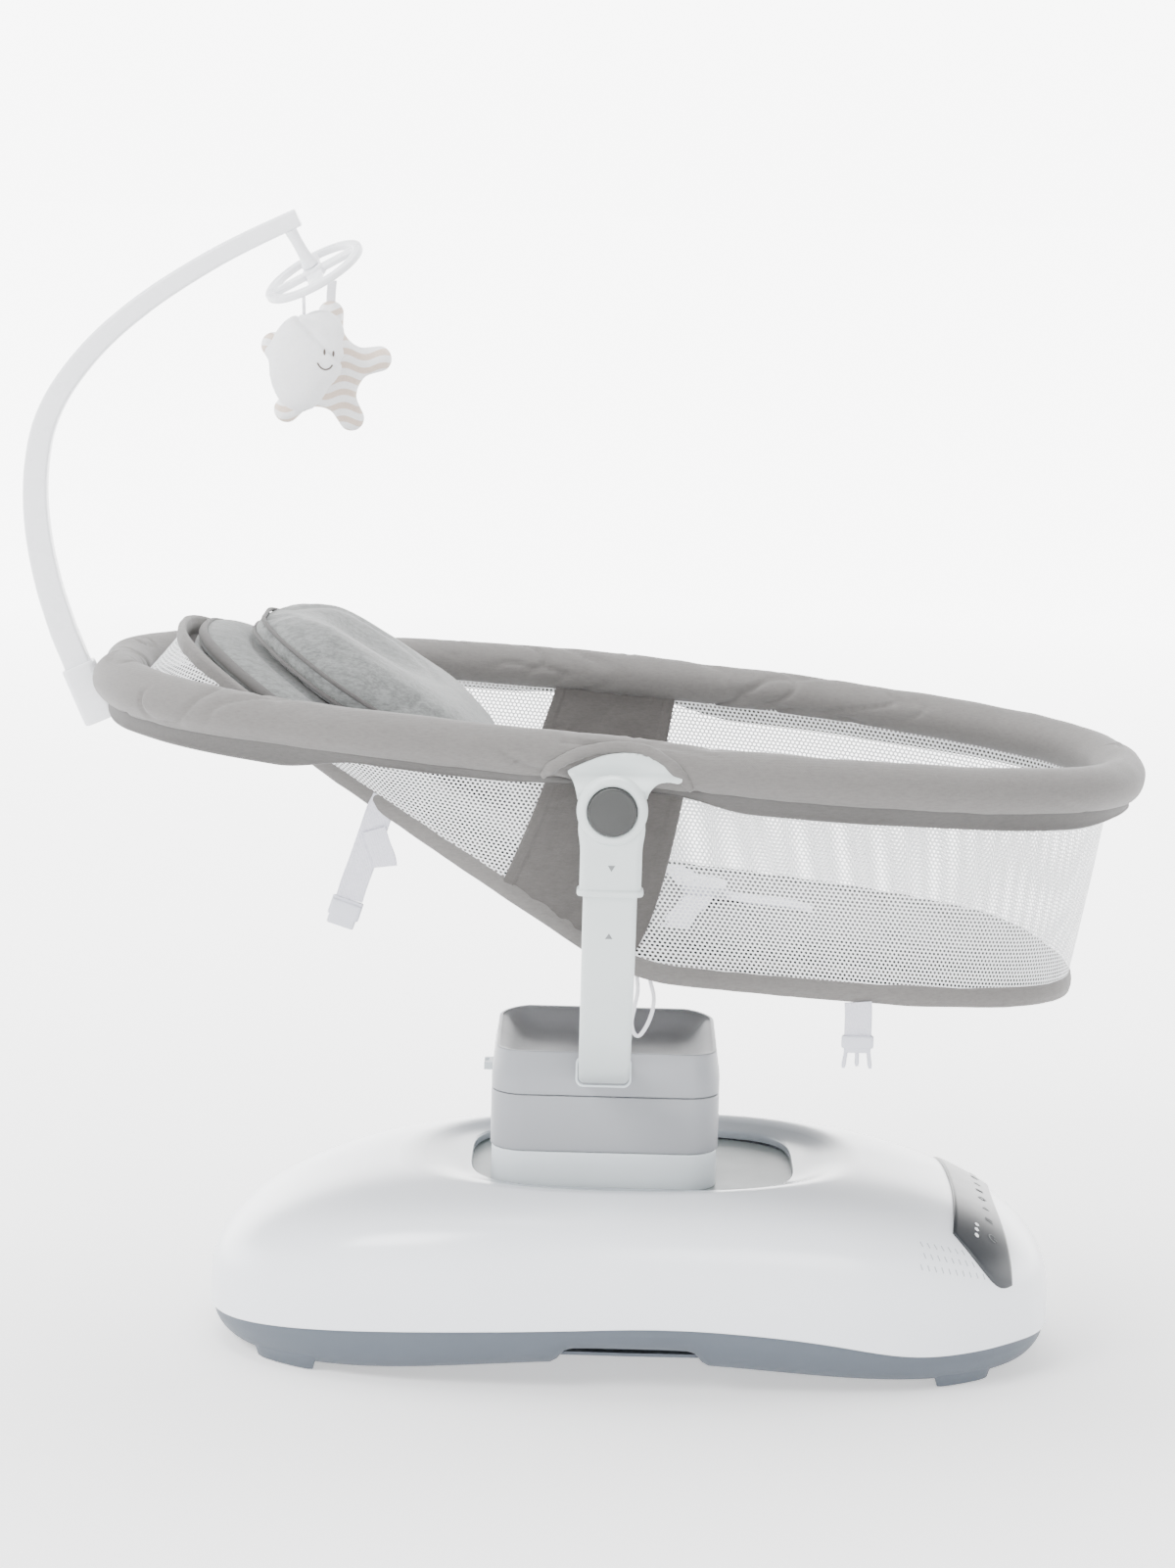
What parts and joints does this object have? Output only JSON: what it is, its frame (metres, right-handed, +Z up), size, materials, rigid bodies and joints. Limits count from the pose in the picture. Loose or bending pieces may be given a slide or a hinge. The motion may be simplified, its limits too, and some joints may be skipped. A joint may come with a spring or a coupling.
{
  "type": "baby swing",
  "caption": "Powered bassinet swing: a padded mesh bassinet hung between two arms on a gliding tower, with a domed base and a toy bar over the head end.",
  "frame": {"origin": "centre of the footprint at floor level", "axes": "+X to the foot end and control panel, +Y to the far side, +Z up"},
  "size_m": [0.8562, 0.55, 0.8649],
  "materials": {
    "base_white": "smooth satin moulded",
    "skirt_grey": "fine moulded texture",
    "black_plastic": "matt",
    "foot_rubber": "matt",
    "panel_black": "high gloss",
    "board_green": "printed board",
    "steel": "ground",
    "nylon": "natural nylon",
    "plate_grey": "satin",
    "tower_grey": "satin moulded",
    "tower_light": "satin moulded",
    "tray_grey": "satin moulded",
    "arm_white": "satin moulded",
    "button_grey": "matt soft touch",
    "saddle_grey": "matt",
    "rim_fabric": "plain woven melange",
    "mesh_white": "open knit mesh",
    "pad_fabric": "heather jersey",
    "board_grey": "matt",
    "webbing": "ribbed webbing",
    "buckle_white": "satin",
    "toybar_white": "satin moulded",
    "plush_white": "short plush",
    "star_fabric": "printed minky",
    "cord_white": "woven elastic"
  },
  "bodies": {
    "base": {"base_top_shell": "base_white", "base_skirt": "skirt_grey", "bottom_plate": "skirt_grey", "foot_pads": "foot_rubber", "control_panel": "panel_black", "control_board": "board_green", "speaker": "black_plastic", "power_jack": "black_plastic", "guide_rods": "steel", "rod_blocks": "black_plastic", "stop_bumpers": "foot_rubber", "drive_motor": "steel", "motor_bracket": "black_plastic", "base_screws": "steel"},
    "pinion": {"drive_pinion": "nylon"},
    "tower": {"slide_plate": "plate_grey", "carriage": "black_plastic", "linear_bushes": "nylon", "gear_rack": "nylon", "tower_skirt": "tower_light", "tower_lower_shell": "tower_grey", "tower_upper_shell": "tower_grey", "tower_top_tray": "tray_grey", "arm_left": "arm_white", "arm_right": "arm_white", "arm_crossbar": "steel", "tower_screws": "steel"},
    "release_tab": {"release_tab": "arm_white"},
    "sleeves": {"sleeve_left": "arm_white", "sleeve_right": "arm_white", "button_springs": "steel"},
    "button_left": {"button_left": "button_grey"},
    "button_right": {"button_right": "button_grey"},
    "bassinet": {"pivot_pins": "steel", "saddle_left": "saddle_grey", "saddle_right": "saddle_grey", "rim_tube": "steel", "rim_padding": "rim_fabric", "mesh_basket": "mesh_white", "side_panels": "rim_fabric", "bottom_band": "rim_fabric", "seat_board": "board_grey", "back_board": "board_grey", "seat_pad": "pad_fabric", "head_pillow": "pad_fabric", "harness_straps": "webbing", "harness_buckle": "buckle_white", "rear_strap": "webbing", "rear_buckle": "buckle_white", "front_strap": "webbing", "front_buckle": "buckle_white", "toy_bar_socket": "toybar_white", "loop_cord": "cord_white"},
    "toy_bar": {"toy_bar": "toybar_white", "toy_ring_stem": "toybar_white"},
    "toy_ring": {"toy_ring": "toybar_white"},
    "moon": {"moon_toy": "plush_white"},
    "star": {"star_toy": "star_fabric"}
  },
  "joints": [
    {"name": "glide", "type": "slide", "parent": "base", "child": "tower", "axis": [1, 0, 0], "range_m": [-0.008, 0.052]},
    {"name": "pinion_turn", "type": "hinge", "parent": "base", "child": "pinion", "pos_m": [0.04675, 0, 0.082], "axis": [0, 0, 1], "range_deg": [-260, 60]},
    {"name": "release_tab_push", "type": "slide", "parent": "tower", "child": "release_tab", "axis": [1, 0, 0], "range_m": [0, 0.004], "stiffness_N_per_m": 400, "springref_m": -0.002},
    {"name": "sleeve_lift", "type": "slide", "parent": "tower", "child": "sleeves", "axis": [0, 0, 1], "range_m": [0, 0.06]},
    {"name": "button_left_push", "type": "slide", "parent": "sleeves", "child": "button_left", "axis": [0, -1, 0], "range_m": [0, 0.004], "stiffness_N_per_m": 600, "springref_m": -0.002},
    {"name": "button_right_push", "type": "slide", "parent": "sleeves", "child": "button_right", "axis": [0, 1, 0], "range_m": [0, 0.004], "stiffness_N_per_m": 600, "springref_m": -0.002},
    {"name": "recline", "type": "hinge", "parent": "sleeves", "child": "bassinet", "pos_m": [0.02225, 0, 0.46], "axis": [0, 1, 0], "range_deg": [-5, 12]},
    {"name": "toy_bar_pull", "type": "slide", "parent": "bassinet", "child": "toy_bar", "axis": [-0.4061, 0, 0.9138], "range_m": [0, 0.028]},
    {"name": "toy_ring_spin", "type": "hinge", "parent": "toy_bar", "child": "toy_ring", "pos_m": [-0.21125, 0.008, 0.8185], "axis": [-0.4733, -0.2756, 0.8366], "continuous": true},
    {"name": "moon_swing", "type": "hinge", "parent": "toy_ring", "child": "moon", "pos_m": [-0.21775, -0.01, 0.805], "axis": [0, 1, 0], "range_deg": [-20, 20]},
    {"name": "star_swing", "type": "hinge", "parent": "toy_ring", "child": "star", "pos_m": [-0.19775, 0.021, 0.812], "axis": [0, 1, 0], "range_deg": [-20, 20]}
  ],
  "couplings": [
    {"joint": "pinion_turn", "follows": "glide", "rad_per_m": -83.333}
  ]
}
